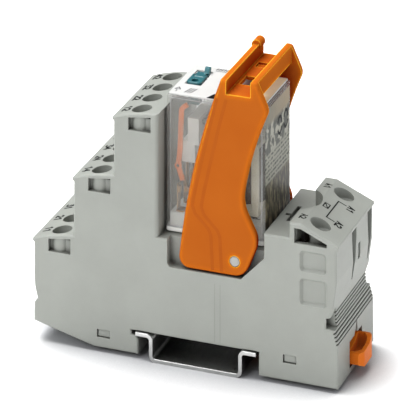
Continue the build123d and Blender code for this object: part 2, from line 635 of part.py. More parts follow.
# ---------------------------------------------------------------- coil and magnet
with BuildPart() as coil_bobbin:
    for z0 in (COIL_Z0, COIL_Z1 - FLANGE_T):
        span((3.4, 15.8), (-9.3, 9.3), (z0, z0 + FLANGE_T))
    with Locations((COIL_X, 0, (COIL_Z0 + COIL_Z1) / 2)):
        Cylinder(CORE_R + 0.6, COIL_Z1 - COIL_Z0)
    for y0, y1 in both(8.3, 9.3):
        span((13.8, 15.8), (y0, y1), (COIL_Z0, COIL_Z1))
    with Locations((COIL_X, 0, (COIL_Z0 + COIL_Z1) / 2)):
        Cylinder(CORE_R + 0.05, 40, mode=Mode.SUBTRACT)
save(coil_bobbin, "coil_bobbin")

with BuildPart() as coil_winding:
    with Locations((COIL_X, 0, (COIL_Z0 + COIL_Z1) / 2)):
        Cylinder(5.7, COIL_Z1 - COIL_Z0 - 2 * FLANGE_T - 0.1)
        Cylinder(CORE_R + 0.65, 40, mode=Mode.SUBTRACT)
save(coil_winding, "coil_winding")

with BuildPart() as coil_core:
    with Locations((COIL_X, 0, (39.6 + POLE_Z) / 2)):
        Cylinder(CORE_R, POLE_Z - 39.6)
    with Locations((COIL_X, 0, POLE_Z - 0.6)):
        Cylinder(4.4, 1.2)
save(coil_core, "coil_core")

with BuildPart() as yoke:
    span((0.6, 14.6), (-6.5, 6.5), (39.6, 41.1))
    span((0.6, 2.2), (-6.5, 6.5), (39.6, ARM_PIVOT_Z - 0.3))
    with Locations((COIL_X, 0, 40)):
        Cylinder(CORE_R + 0.02, 10, mode=Mode.SUBTRACT)
    chamfer(yoke.edges().filter_by(Axis.Y).sort_by(Axis.Z)[0], 0.6)
save(yoke, "yoke")

with BuildPart() as return_spring:
    span((0.28, 0.56), (-2.5, 2.5), (48.0, 61.0))
    span((-0.4, 0.56), (-2.5, 2.5), (61.0, 61.28))
save(return_spring, "return_spring")

# ---------------------------------------------------------------- armature with its springs
tilt = Plane(
    origin=(ARM_PIVOT_X, 0, ARM_PIVOT_Z),
    x_dir=(cos(radians(ARM_TILT)), 0, sin(radians(ARM_TILT))),
    z_dir=(-sin(radians(ARM_TILT)), 0, cos(radians(ARM_TILT))),
)
with BuildPart() as armature:
    with BuildSketch(tilt):
        with Locations(((12.6 - 3.1) / 2, 0)):
            Rectangle(12.6 + 3.1, 12.0)
    extrude(amount=ARM_T)
    chamfer(armature.edges().filter_by(Axis.Y), 0.2)
save(armature, "armature")

with BuildPart() as contact_card:
    with BuildSketch(Plane.XZ):
        Polygon(
            (-6.8, 52.8), (-3.0, 52.8), (-3.0, 57.7), (-1.85, 57.7), (-1.85, 65.0), (-5.1, 65.0),
            (-5.1, 58.6), (-6.8, 58.6), align=None,
        )
    extrude(amount=8.3, both=True)
    # notches between the poles
    for y in (-5.1, 0.0, 5.1):
        span((-8, -4.6), (y - 0.5, y + 0.5), (52, 57), Mode.SUBTRACT)
save(contact_card, "contact_card")

with BuildPart() as moving_contacts:
    for y in SPRING_Y:
        span((SPRING_X - 0.1, SPRING_X + 0.1), (y - SPRING_W / 2, y + SPRING_W / 2), (43.6, 52.8))
        with Locations((SPRING_X, y, TIP_Z)):
            Cylinder(TIP_R, 1.0, rotation=(0, 90, 0))
save(moving_contacts, "moving_contacts")

swing = sin(radians(ARM_TILT)) * (ARM_PIVOT_Z - TIP_Z)
with BuildPart() as contacts_no:
    for y, pin_y in zip(SPRING_Y, PIN_Y):
        x0 = NO_STRIP_X - STRIP_T / 2
        face = SPRING_X - 0.5 - swing - 0.08
        span((x0, x0 + STRIP_T), (y - 1.0, y + 1.0), (BASE_TOP, TIP_Z + 1.4))
        span((x0, NO_ROW_X + 1.1), (min(y - 1, pin_y - 0.3), max(y + 1, pin_y + 0.3)),
             (BASE_TOP, BASE_TOP + 0.4))
        span((x0 + STRIP_T, face), (y - 0.8, y + 0.8), (TIP_Z - 0.8, TIP_Z + 0.8))
save(contacts_no, "contacts_no")

with BuildPart() as contacts_nc:
    for y, pin_y in zip(SPRING_Y, PIN_Y):
        x0 = NC_STRIP_X - STRIP_T / 2
        span((x0, x0 + STRIP_T), (y - 1.0, y + 1.0), (BASE_TOP, TIP_Z + 1.4))
        span((x0, NC_ROW_X + 1.0), (min(y - 1, pin_y - 0.3), max(y + 1, pin_y + 0.3)),
             (BASE_TOP, BASE_TOP + 0.4))
        span((SPRING_X + 0.5 + 0.08, x0), (y - 0.8, y + 0.8), (TIP_Z - 0.8, TIP_Z + 0.8))
save(contacts_nc, "contacts_nc")

# ---------------------------------------------------------------- test lever, button and lock tab
with BuildPart() as test_lever:
    with BuildSketch(Plane.XZ.offset(8.75)):
        with BuildLine() as spine:
            FilletPolyline(
                (-4.9, 68.9), (-6.6, 67.6), (-7.1, 56.0), TEST_PIVOT, (-6.3, 48.0), radius=1.5
            )
        trace(spine.line, line_width=1.3)
        with Locations(TEST_PIVOT):
            Circle(0.95)
    extrude(amount=0.7)
    with Locations((TEST_PIVOT[0], -9.0, TEST_PIVOT[1])):
        Cylinder(0.45, 3.0, rotation=(90, 0, 0), mode=Mode.SUBTRACT)
save(test_lever, "test_lever")

with BuildPart() as test_lever_pin:
    with Locations((TEST_PIVOT[0], -8.95, TEST_PIVOT[1])):
        Cylinder(0.4, 1.1, rotation=(90, 0, 0))
save(test_lever_pin, "test_lever_pin")

with BuildPart() as test_button:
    with BuildSketch(Plane.XY.offset(BUTTON_Z[0])) as cap:
        Polygon(
            (BUTTON_X[0], BUTTON_Y[0]), (BUTTON_X[1], BUTTON_Y[0]), (BUTTON_X[1], EAR_Y),
            (BUTTON_X[1] - 0.7, EAR_Y), (BUTTON_X[1] - 0.7, BUTTON_Y[1]),
            (BUTTON_X[0] + 0.7, BUTTON_Y[1]), (BUTTON_X[0] + 0.7, EAR_Y), (BUTTON_X[0], EAR_Y),
            align=None,
        )
        fillet(cap.vertices().group_by(Axis.Y)[0], 1.2)
    extrude(amount=BUTTON_Z[1] - BUTTON_Z[0])
    chamfer(test_button.faces().sort_by(Axis.Z)[-1].edges(), 0.15)
    span((BUTTON_MID - 1.4, BUTTON_MID + 1.6), (HOLE_Y - 1.4, HOLE_Y + 1.4), (66.4, BUTTON_Z[0]))
    with Locations((BUTTON_MID, HOLE_Y, BUTTON_Z[1])):
        Cylinder(1.0, 4.0, mode=Mode.SUBTRACT)
    with Locations((BUTTON_MID, TAB_AXIS_Y, TAB_AXIS_Z)):
        Cylinder(0.3, 8, rotation=(0, 90, 0), mode=Mode.SUBTRACT)
save(test_button, "test_button")

with BuildPart() as lock_tab:
    with BuildSketch(Plane.YZ.offset(BUTTON_X[0] + 0.8)):
        with Locations((TAB_AXIS_Y, TAB_AXIS_Z)):
            Circle(0.6)
        with BuildLine():
            Polyline(
                (TAB_AXIS_Y, 71.4), (4.9, 71.4), (4.9, 72.5), (TAB_AXIS_Y, 72.5), (TAB_AXIS_Y, 71.4)
            )
        make_face()
    extrude(amount=BUTTON_X[1] - BUTTON_X[0] - 1.6)
    # finger nub
    with BuildSketch(Plane.YZ.offset(-5.1)) as nub:
        Polygon((4.3, 71.4), (6.2, 72.2), (6.5, 73.3), (6.1, 73.8), (5.3, 73.7), (4.3, 72.5), align=None)
        fillet(nub.vertices().group_by(Axis.Y)[-1], 0.3)
    extrude(amount=1.4)
    with Locations((BUTTON_MID, TAB_AXIS_Y, TAB_AXIS_Z)):
        Cylinder(0.35, 8, rotation=(0, 90, 0), mode=Mode.SUBTRACT)
save(lock_tab, "lock_tab")

with BuildPart() as lock_tab_pin:
    with Locations((BUTTON_MID, TAB_AXIS_Y, TAB_AXIS_Z)):
        Cylinder(0.3, BUTTON_X[1] - BUTTON_X[0], rotation=(0, 90, 0))
save(lock_tab_pin, "lock_tab_pin")
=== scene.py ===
"""Plug-in relay in its rail socket: materials, printed details, camera and light around the CAD frame.

Everything is in metres, in the frame of the CAD. Numbers written in mm are multiplied by MM.
"""

import math

import bpy
from mathutils import Matrix, Vector
from mathutils.bvhtree import BVHTree


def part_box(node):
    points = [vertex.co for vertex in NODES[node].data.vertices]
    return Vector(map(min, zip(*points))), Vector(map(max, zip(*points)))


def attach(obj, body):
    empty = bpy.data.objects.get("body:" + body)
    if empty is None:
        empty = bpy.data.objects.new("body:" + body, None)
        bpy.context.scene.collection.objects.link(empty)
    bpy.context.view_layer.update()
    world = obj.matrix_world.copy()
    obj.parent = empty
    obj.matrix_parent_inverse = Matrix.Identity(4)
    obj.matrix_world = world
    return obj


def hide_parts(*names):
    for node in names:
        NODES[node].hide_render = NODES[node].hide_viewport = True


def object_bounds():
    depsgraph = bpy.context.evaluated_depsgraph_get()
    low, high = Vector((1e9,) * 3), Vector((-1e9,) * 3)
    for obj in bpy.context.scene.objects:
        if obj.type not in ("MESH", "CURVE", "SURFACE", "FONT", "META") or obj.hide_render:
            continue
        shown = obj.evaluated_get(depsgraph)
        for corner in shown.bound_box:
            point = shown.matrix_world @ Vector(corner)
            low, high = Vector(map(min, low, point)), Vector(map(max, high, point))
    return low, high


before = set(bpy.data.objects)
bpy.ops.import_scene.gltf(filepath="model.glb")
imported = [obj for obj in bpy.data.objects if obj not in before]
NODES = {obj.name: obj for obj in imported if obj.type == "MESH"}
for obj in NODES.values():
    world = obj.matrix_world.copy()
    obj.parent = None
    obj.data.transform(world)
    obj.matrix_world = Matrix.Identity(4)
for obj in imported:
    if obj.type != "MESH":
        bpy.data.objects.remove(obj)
CAD_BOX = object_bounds()
MM = 0.001


# ------------------------------------------------------------------ material helpers
def srgb(text):
    """Linear RGBA from a hex colour."""
    out = []
    for i in (1, 3, 5):
        v = int(text[i:i + 2], 16) / 255
        out.append(v / 12.92 if v <= 0.04045 else ((v + 0.055) / 1.055) ** 2.4)
    return (*out, 1.0)


class Paint:
    """One procedural material and short calls for its nodes."""

    def __init__(self, name):
        self.material = bpy.data.materials.new(name)
        self.material.use_nodes = True
        self.tree = self.material.node_tree
        self.shader = self.tree.nodes["Principled BSDF"]
        self.coords = self.add("ShaderNodeTexCoord").outputs["Object"]

    def add(self, kind, **settings):
        """A new node with its settings."""
        node = self.tree.nodes.new(kind)
        for key, value in settings.items():
            setattr(node, key, value)
        return node

    def link(self, source, target):
        """A wire from one socket to another."""
        self.tree.links.new(source, target)

    def put(self, socket, value):
        """A link when value is a socket, a constant otherwise."""
        if isinstance(value, bpy.types.NodeSocket):
            self.link(value, socket)
        else:
            socket.default_value = value

    def set(self, **values):
        """Fills the shader's sockets; an underscore stands for a space in a socket's name."""
        for key, value in values.items():
            self.put(self.shader.inputs[key.replace("_", " ")], value)

    def stretch(self, x, y, z):
        """Object coordinates scaled along each axis."""
        node = self.add("ShaderNodeMapping")
        self.link(self.coords, node.inputs["Vector"])
        node.inputs["Scale"].default_value = (x, y, z)
        return node.outputs["Vector"]

    def noise(self, size, detail=3.0, rough=0.5, coords=None):
        """Noise with features about size metres across."""
        node = self.add("ShaderNodeTexNoise")
        self.link(coords or self.coords, node.inputs["Vector"])
        node.inputs["Scale"].default_value = 1.0 / size
        node.inputs["Detail"].default_value = detail
        node.inputs["Roughness"].default_value = rough
        return node.outputs["Fac"]

    def span(self, value, from_low, from_high, to_low, to_high):
        """value mapped from one range to another, and clamped to the second."""
        node = self.add("ShaderNodeMapRange")
        self.put(node.inputs["Value"], value)
        for key, number in zip(
            ("From Min", "From Max", "To Min", "To Max"), (from_low, from_high, to_low, to_high)
        ):
            node.inputs[key].default_value = number
        return node.outputs["Result"]

    def step(self, value, at, soft):
        """0 below at and 1 above it, with a slope soft wide on either side."""
        return self.span(value, at - soft, at + soft, 0.0, 1.0)

    def math(self, operation, a, b=0.0):
        """One step of arithmetic on sockets or numbers."""
        node = self.add("ShaderNodeMath", operation=operation)
        self.put(node.inputs[0], a)
        self.put(node.inputs[1], b)
        return node.outputs["Value"]

    def mix(self, factor, a, b):
        """Colour a at factor 0, colour b at factor 1."""
        node = self.add("ShaderNodeMix", data_type="RGBA")
        self.put(node.inputs["Factor"], factor)
        self.put(node.inputs["A"], a)
        self.put(node.inputs["B"], b)
        return node.outputs["Result"]

    def edges(self, radius):
        """(rounded normal, mask that is 1 on edges and 0 on flats)."""
        flat, sharp = 0.995, 0.85    # cosines between the rounded and the plain normal
        bevel = self.add("ShaderNodeBevel", samples=6)
        bevel.inputs["Radius"].default_value = radius
        geometry = self.add("ShaderNodeNewGeometry")
        dot = self.add("ShaderNodeVectorMath", operation="DOT_PRODUCT")
        self.link(bevel.outputs["Normal"], dot.inputs[0])
        self.link(geometry.outputs["Normal"], dot.inputs[1])
        return bevel.outputs["Normal"], self.span(dot.outputs["Value"], flat, sharp, 0.0, 1.0)

    def painted_recess_shade(self, base, dark, reach, low=0.14, high=0.64, strength=1.0, alone=False):
        """Base colour with painted shade: it turns dark in recesses and gaps narrower than reach.

        Other pieces cast their share of the painted shade too, unless alone is set.
        """
        node = self.add("ShaderNodeAmbientOcclusion", samples=8, only_local=alone)
        node.inputs["Distance"].default_value = reach
        return self.mix(self.span(node.outputs["AO"], low, high, strength, 0.0), base, dark)

    def axis(self, index):
        """One of the object coordinates, in metres."""
        node = self.add("ShaderNodeSeparateXYZ")
        self.link(self.coords, node.inputs["Vector"])
        return node.outputs[index]

    def bump(self, height, distance, strength=1.0, normal=None):
        """Normal pushed by a height of 0 to 1, which stands for distance metres."""
        node = self.add("ShaderNodeBump")
        self.link(height, node.inputs["Height"])
        node.inputs["Distance"].default_value = distance
        node.inputs["Strength"].default_value = strength
        if normal is not None:
            self.link(normal, node.inputs["Normal"])
        return node.outputs["Normal"]


def moulded(name, colour, light, dark, rough=0.42, grain=0.004 * MM, edge=0.3 * MM, rim=0.5,
            shade_colour="#3E3E38", reach=4.5 * MM, alone=False, **extra):
    """Injection moulded plastic: fine spark-eroded grain, flow clouds, edges painted lighter (part wear,
    part painted highlight), painted shade in recesses.
    """
    p = Paint(name)
    normal, mask = p.edges(edge)
    clouds = p.span(p.noise(9 * MM, 4, 0.55), 0.35, 0.65, 0.0, 1.0)
    fine = p.noise(0.16 * MM, 2, 0.6)
    base = p.mix(clouds, srgb(dark), srgb(colour))
    # Painted highlight: edges turn towards the light colour, partly as wear.
    base = p.mix(p.math("MULTIPLY", mask, rim), base, srgb(light))
    # Painted shade in recesses, in the shade colour.
    base = p.painted_recess_shade(base, srgb(shade_colour), reach, alone=alone)
    scuffs = p.span(p.noise(2.4 * MM, 6, 0.7), 0.56, 0.72, 0.0, 0.12)
    roughness = p.math("ADD", p.span(fine, 0.3, 0.7, rough - 0.05, rough + 0.05), scuffs)
    p.set(Base_Color=base, Roughness=roughness, Normal=p.bump(fine, grain, 0.6, normal), **extra)
    return p.material


def lever_plastic():
    """Matt orange with painted highlights: a broad glow towards the borders, a thin bright line along every
    edge, and painted shade in recesses.
    """
    p = Paint("orange_plastic")
    # line is the mask for a thin painted highlight along every edge.
    normal, line = p.edges(0.55 * MM)
    border_highlight = p.edges(2.6 * MM)[1]
    clouds = p.span(p.noise(14 * MM, 3, 0.5), 0.35, 0.65, 0.0, 1.0)
    base = p.mix(clouds, srgb("#AB571B"), srgb("#AF5B1D"))
    # Painted highlights: a broad glow towards the borders, then a thin bright line on every edge.
    base = p.mix(p.math("MULTIPLY", border_highlight, 0.75), base, srgb("#CE6A0E"))
    base = p.mix(line, base, srgb("#FFC43C"))
    # Painted shade in recesses.
    base = p.painted_recess_shade(base, srgb("#98290A"), 7 * MM, 0.3, 0.85)
    fine = p.noise(0.3 * MM, 2, 0.6)
    p.set(
        Base_Color=base, Roughness=p.span(fine, 0.3, 0.7, 0.4, 0.5), Specular_IOR_Level=0.0,
        Normal=p.bump(fine, 0.003 * MM, 0.4, normal),
    )
    return p.material


def metal(name, colour, dark, rough=0.3, grain=(1, 1, 14), edge=0.12 * MM, shade_colour="#24231F",
          reach=5 * MM, alone=False):
    """Plated or drawn metal: streaks along the drawing direction, small stains, edges painted bright (part
    wear, part painted highlight) and painted shade in recesses.
    """
    p = Paint(name)
    normal, rim = p.edges(edge)
    streaks = p.noise(0.5 * MM, 5, 0.65, p.stretch(*grain))
    stains = p.span(p.noise(3 * MM, 5, 0.6), 0.45, 0.7, 0.0, 0.6)
    base = p.mix(stains, srgb(colour), srgb(dark))
    # Painted highlight on the edges, partly wear.
    base = p.mix(p.math("MULTIPLY", rim, 0.6), base, (0.85, 0.85, 0.84, 1))
    # Painted shade in recesses.
    base = p.painted_recess_shade(base, srgb(shade_colour), reach, alone=alone)
    p.set(
        Base_Color=base, Metallic=1.0, Roughness=p.span(streaks, 0.3, 0.7, rough - 0.08, rough + 0.1),
        Normal=p.bump(streaks, 0.006 * MM, 0.5, normal),
    )
    return p.material


def clear_plastic():
    """Clear cover: a grey veil, moulded edges with a painted highlight that makes them lighter and less
    clear, and fine scratches.
    """
    p = Paint("clear_polycarbonate")
    normal, rim = p.edges(0.9 * MM)
    scratches = p.noise(0.6 * MM, 6, 0.75, p.stretch(1, 1, 0.08))
    veil = p.span(p.noise(6 * MM, 3), 0.3, 0.7, 0.2, 0.3)
    # Painted highlight: the edges turn less clear and lighter.
    alpha = p.math("ADD", veil, p.math("MULTIPLY", rim, 0.4))
    p.set(
        Base_Color=p.mix(rim, srgb("#A2A29C"), srgb("#E6E6EA")),
        Roughness=p.span(scratches, 0.4, 0.7, 0.08, 0.24), Alpha=alpha,
        Normal=p.bump(scratches, 0.002 * MM, 0.3, normal),
    )
    return p.material


def film_print():
    """Printed film on the relay's end: tan on top, dark blots, hatched rows, then dark streaks."""
    streaks_top, rows_top, blots_top = 50.0 * MM, 58.0 * MM, 65.75 * MM
    row_wave = 5200.0    # radians per metre, which is a row every 1.2 mm
    p = Paint("printed_film")
    height = p.axis(2)
    top = p.mix(p.span(p.axis(1), -8 * MM, 9 * MM, 0.0, 1.0), srgb("#6C6859"), srgb("#8C7B60"))
    blots = p.span(p.noise(3.0 * MM, 3, 0.6, p.stretch(1, 1, 0.8)), 0.44, 0.5, 0.0, 1.0)
    middle = p.mix(blots, srgb("#98978A"), srgb("#40433B"))
    lines = p.span(p.math("SINE", p.math("MULTIPLY", height, row_wave)), -0.4, 0.4, 0.0, 1.0)
    broken = p.span(p.noise(1.3 * MM, 3, 0.6), 0.42, 0.54, 0.0, 1.0)
    rows = p.mix(p.math("MULTIPLY", lines, broken), srgb("#8C8C7F"), srgb("#3A3C34"))
    flecks = p.span(p.noise(1.0 * MM, 5, 0.7, p.stretch(1, 1, 0.22)), 0.48, 0.62, 0.0, 1.0)
    below = p.mix(flecks, srgb("#3A372C"), srgb("#958C74"))
    base = p.mix(p.step(height, streaks_top, 0.4 * MM), below, rows)
    base = p.mix(p.step(height, rows_top, 0.5 * MM), base, middle)
    base = p.mix(p.step(height, blots_top, 0.75 * MM), base, top)
    p.set(Base_Color=base, Roughness=p.span(flecks, 0.0, 1.0, 0.36, 0.44), Specular_IOR_Level=0.08)
    return p.material


# ------------------------------------------------------------------ materials
# Each finish's shade colour and reach set its painted shade in recesses.
GREY = moulded("grey_polyamide", "#949791", "#ABAEA7", "#90938D", 0.5)
ORANGE = lever_plastic()
# Emission is painted light: a glow that lifts the latch out of the housing's shade.
LATCH_ORANGE = moulded(
    "latch_orange", "#DE7014", "#F8A23A", "#D46810", 0.42, shade_colour="#8A1C06", reach=4.5 * MM,
    Specular_IOR_Level=0.12, Emission_Color=(0.8, 0.22, 0.04, 1), Emission_Strength=0.07,
)
# Emission is painted light: a glow that keeps the test lever bright behind the cover's grey veil.
TEST_ORANGE = moulded(
    "test_orange", "#DC6408", "#EE842A", "#D05A04", 0.38, edge=0.2 * MM, alone=True,
    Emission_Color=(0.85, 0.24, 0.0, 1), Emission_Strength=0.2,
)
TEAL = moulded("teal_plastic", "#1F646C", "#56979A", "#1A5860", 0.28, edge=0.25 * MM, shade_colour="#0B2C33",
               reach=1.6 * MM)
# Emission on white and cream is painted light: a glow that stands in for light passing through the thin
# plastic inside the cover.
WHITE = moulded("white_plastic", "#DCDDD8", "#F0F0EC", "#D2D3CD", 0.45, alone=True,
                Emission_Color=(0.8, 0.8, 0.78, 1), Emission_Strength=0.16)
CREAM = moulded("cream_plastic", "#DDD6BC", "#EEE9D4", "#CFC7A8", 0.45, alone=True,
                Emission_Color=(0.78, 0.74, 0.62, 1), Emission_Strength=0.2)
LABEL = moulded("label_film", "#CDCECC", "#DCDCDA", "#C8C9C7", 0.3, grain=0.001 * MM, rim=0.2,
                alone=True)
FILM = film_print()
INK = moulded("grey_ink", "#3C3D42", "#46474C", "#34353A", 0.5, grain=0.001 * MM, alone=True,
              Specular_IOR_Level=0.1)
BLACK_INK = moulded("black_ink", "#141518", "#1C1D20", "#101113", 0.5, grain=0.001 * MM, alone=True,
                    Specular_IOR_Level=0.05)
SEAM = moulded("seam_grey", "#8B8E88", "#8B8E88", "#878A84", 0.5)
# Painted shading: bands a shade darker than the lever's orange.
LEVER_SHADING = moulded("lever_shading", "#A8541A", "#A8541A", "#A45118", 0.45, Specular_IOR_Level=0.02)
# Emission is painted light: a glow that lifts the band out of the lever handle's shadow.
TAN_INK = moulded("tan_ink", "#BDAB8F", "#CAB99E", "#A28E6E", 0.5, grain=0.001 * MM, alone=True,
                  Emission_Color=(0.5, 0.4, 0.27, 1), Emission_Strength=0.6)
STEEL = metal("plated_steel", "#BDBCB8", "#8D8C88", 0.32)
ZINC = metal("zinc_rail", "#C9CAC8", "#A9AAA8", 0.34, grain=(1, 0.06, 1), edge=0.35 * MM, reach=18 * MM)
TIN = metal("tinned_copper", "#C8BFAE", "#9A8C74", 0.35)
BRONZE = metal("spring_bronze", "#B98A52", "#8A6238", 0.34, alone=True)
COPPER = metal("enamelled_copper", "#5A2C18", "#341A10", 0.34, alone=True)
PIN = moulded("pin_metal", "#A5A5A1", "#B9B9B5", "#9B9B97", 0.42, shade_colour="#3A3A36", reach=1.5 * MM)
CLEAR = clear_plastic()

FINISH = {
    "socket_housing": GREY, "base_cover": GREY, "rail_section": ZINC, "lever_pins": PIN,
    "retaining_lever": ORANGE, "foot_latch": LATCH_ORANGE, "relay_base": WHITE, "relay_cover": CLEAR,
    "relay_pins": TIN, "pin_receptacles": TIN, "coil_bobbin": CREAM, "coil_winding": COPPER,
    "coil_core": STEEL, "yoke": STEEL, "return_spring": BRONZE, "contacts_no": BRONZE,
    "contacts_nc": BRONZE, "label_plate": LABEL, "test_lever_pin": STEEL, "armature": STEEL,
    "contact_card": WHITE, "moving_contacts": BRONZE, "test_lever": TEST_ORANGE, "test_button": TEAL,
    "lock_tab": TEAL, "lock_tab_pin": STEEL,
}
for name, node in NODES.items():
    if name.startswith(("terminal_screws", "clamp_cages")):
        finish = STEEL
    elif name.startswith("contact_bars"):
        finish = TIN
    else:
        finish = FINISH[name]
    node.data.materials.clear()
    node.data.materials.append(finish)


# ------------------------------------------------------------------ details built here
STROKES = {
    "1": [[(0.1, 0.75), (0.35, 1.0), (0.35, 0.0)]],
    "2": [[(0.0, 0.8), (0.15, 1.0), (0.45, 1.0), (0.6, 0.8), (0.6, 0.6), (0.0, 0.0), (0.6, 0.0)]],
    "3": [[(0.0, 1.0), (0.6, 1.0), (0.25, 0.6), (0.6, 0.4), (0.6, 0.15), (0.4, 0.0), (0.0, 0.0)]],
    "4": [[(0.45, 0.0), (0.45, 1.0), (0.0, 0.35), (0.6, 0.35)]],
    "A": [[(0.0, 0.0), (0.3, 1.0), (0.6, 0.0)], [(0.1, 0.35), (0.5, 0.35)]],
}
HOUSING_TREE = BVHTree.FromObject(NODES["socket_housing"], bpy.context.evaluated_depsgraph_get())
INK_LIFT = 0.025 * MM               # how far a printed stroke stands off its surface
FILM_T = 0.03 * MM                  # thickness of the film on the relay's end
FILM_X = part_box("relay_cover")[1].x + FILM_T
TIER_X, TIER_STEP = -46.7, 11.86    # mm: the lowest tier's numbers, and from one tier to the next
POLE_PITCH, NUMBER_Y = 7.75, 2.4    # mm: from pole to pole, and a number's start from its pole
ABOVE_HOUSING = 90 * MM             # height that the rays for the numbers start from


def add_piece(name, verts, faces, body, material, smooth=False):
    """A new mesh piece that rides on a CAD body."""
    mesh = bpy.data.meshes.new(name)
    mesh.from_pydata([tuple(v) for v in verts], [], faces)
    mesh.polygons.foreach_set("use_smooth", [smooth] * len(mesh.polygons))
    mesh.materials.append(material)
    thing = bpy.data.objects.new(name, mesh)
    bpy.context.scene.collection.objects.link(thing)
    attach(thing, body)
    return thing


class Print:
    """Thin printed strokes laid on a surface. place maps flat (u, v) in mm to a point and its normal."""

    def __init__(self, place):
        self.place = place
        self.verts = []
        self.faces = []

    def line(self, a, b, width):
        """One stroke from a to b, cut into short pieces so that it follows the surface."""
        piece_length, overrun = 1.2, 0.35
        run = Vector(b) - Vector(a)
        side = Vector((-run.y, run.x)).normalized() * width / 2
        along = run.normalized() * width * overrun
        start, end = Vector(a) - along, Vector(b) + along
        steps = max(1, round(run.length / piece_length))
        first = len(self.verts)
        for i in range(steps + 1):
            middle = start.lerp(end, i / steps)
            for spot in (middle + side, middle - side):
                point, normal = self.place(spot.x, spot.y)
                self.verts.append(point + normal * INK_LIFT)
        for i in range(steps):
            k = first + 2 * i
            self.faces.append((k, k + 1, k + 3, k + 2))

    def path(self, points, width):
        """Strokes from point to point."""
        for a, b in zip(points, points[1:]):
            self.line(a, b, width)

    def ribbon(self, points, width):
        """One band along a bent line, with mitred corners."""
        points = [Vector(p) for p in points]
        runs = [(b - a).normalized() for a, b in zip(points, points[1:])]
        first = len(self.verts)
        for k, spot in enumerate(points):
            run = (runs[max(k - 1, 0)] + runs[min(k, len(runs) - 1)]).normalized()
            side = Vector((-run.y, run.x)) * width / 2
            for corner in (spot + side, spot - side):
                point, normal = self.place(corner.x, corner.y)
                self.verts.append(point + normal * INK_LIFT)
        for k in range(first, first + 2 * len(runs), 2):
            self.faces.append((k, k + 1, k + 3, k + 2))

    def text(self, word, at, height, width):
        """Letters for a word from its lower left corner, read with the coil end of the socket up."""
        advance = 0.85
        for k, letter in enumerate(word):
            for stroke in STROKES[letter]:
                corners = [(y, -x - advance * k) for x, y in stroke]
                self.path([Vector(at) + Vector(corner) * height for corner in corners], width)

    def build(self, name, body, material):
        """One piece of all the strokes so far."""
        return add_piece(name, self.verts, self.faces, body, material)


def on_housing(x, y):
    """Point of the housing's surface straight below (x, y), mm in, metres out."""
    point, normal, _, _ = HOUSING_TREE.ray_cast(Vector((x * MM, y * MM, ABOVE_HOUSING)), Vector((0, 0, -1)))
    return point, normal


def on_label(x, y):
    """Point of the relay's label."""
    return Vector((x * MM, y * MM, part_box("label_plate")[1].z)), Vector((0, 0, 1))


def on_film(y, z):
    """Point just off the film on the relay's end."""
    return Vector((FILM_X + FILM_T, y * MM, z * MM)), Vector((1, 0, 0))


def add_terminal_numbers():
    """Contact numbers beside the screw holes and the coil's symbol between its two screws."""
    marks = Print(on_housing)
    for tier, digit in enumerate("142"):
        for pole in range(4):
            place = (TIER_X + TIER_STEP * tier, (pole - 1.5) * POLE_PITCH + NUMBER_Y)
            marks.text("1234"[pole] + digit, place, 2.0, 0.52)
    for word, place in (
        ("A2", (28.4, -9.2)), ("A1", (28.4, 11.4)), ("A2", (36.8, -4.2)), ("A1", (36.8, 5.9)),
    ):
        marks.text(word, place, 1.7, 0.42)
    marks.path([(36.2, 5.2), (34.0, 5.2), (34.0, -5.2), (36.2, -5.2)], 0.34)
    marks.path([(31.6, 1.1), (33.0, 1.1), (33.0, -1.1), (31.6, -1.1), (31.6, 1.1), (33.0, -1.1)], 0.3)
    marks.build("terminal_numbers", "socket", BLACK_INK)


def add_label_print():
    """Small generic marks on the relay's top label."""
    marks = Print(on_label)
    for k in range(3):
        marks.line((-5.9 + 0.8 * k, -8.6), (-5.0 + 0.8 * k, -5.6), 0.34)
    marks.path([(-9.3, -7.2), (-8.5, -5.9), (-7.7, -7.2), (-9.3, -7.2)], 0.3)
    marks.line((-8.5, -7.9), (-8.5, -8.6), 0.3)
    for k in range(7):
        marks.line((-3.0 + 0.75 * k, 8.6), (-2.6 + 0.75 * k, 9.6), 0.36)
    marks.line((-2.8, 7.9), (2.3, 7.9), 0.24)
    marks.build("label_marks", "relay", INK)
    patch = Print(on_label)
    for k in range(4):
        patch.line((1.4 + 0.6 * k, -10.0), (2.4 + 0.6 * k, -7.2), 0.62)
    patch.build("label_patch", "relay", BLACK_INK)
    band = Print(on_label)
    band.ribbon([(15.9, -9.9), (15.9, 9.9)], 3.0)
    band.build("label_band", "relay", TAN_INK)


def add_end_film():
    """Printed film on the relay cover's end, with two round marks."""
    low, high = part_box("relay_cover")
    side_margin, foot_margin, top_margin, glue = 1.0 * MM, 2.2 * MM, 1.2 * MM, 0.004 * MM
    y, z0, z1 = high.y - side_margin, low.z + foot_margin, high.z - top_margin
    x0, x1 = high.x + glue, FILM_X
    verts = [(x, a, b) for x in (x0, x1) for a, b in ((-y, z0), (y, z0), (y, z1), (-y, z1))]
    faces = [
        (4, 5, 6, 7), (3, 2, 1, 0), (0, 1, 5, 4), (1, 2, 6, 5), (2, 3, 7, 6), (3, 0, 4, 7),
    ]
    add_piece("end_film", verts, faces, "relay", FILM)
    marks = Print(on_film)
    half_wide, half_high, middle = 1.7, 2.3, 62.6
    for centre in (1.6, 6.6):
        angles = [k * math.pi / 8 for k in range(17)]
        ring = [(centre + half_wide * math.cos(a), middle + half_high * math.sin(a)) for a in angles]
        marks.ribbon(ring[:8], 0.8)
        marks.ribbon(ring[9:16], 0.8)
    marks.build("end_film_marks", "relay", BLACK_INK)


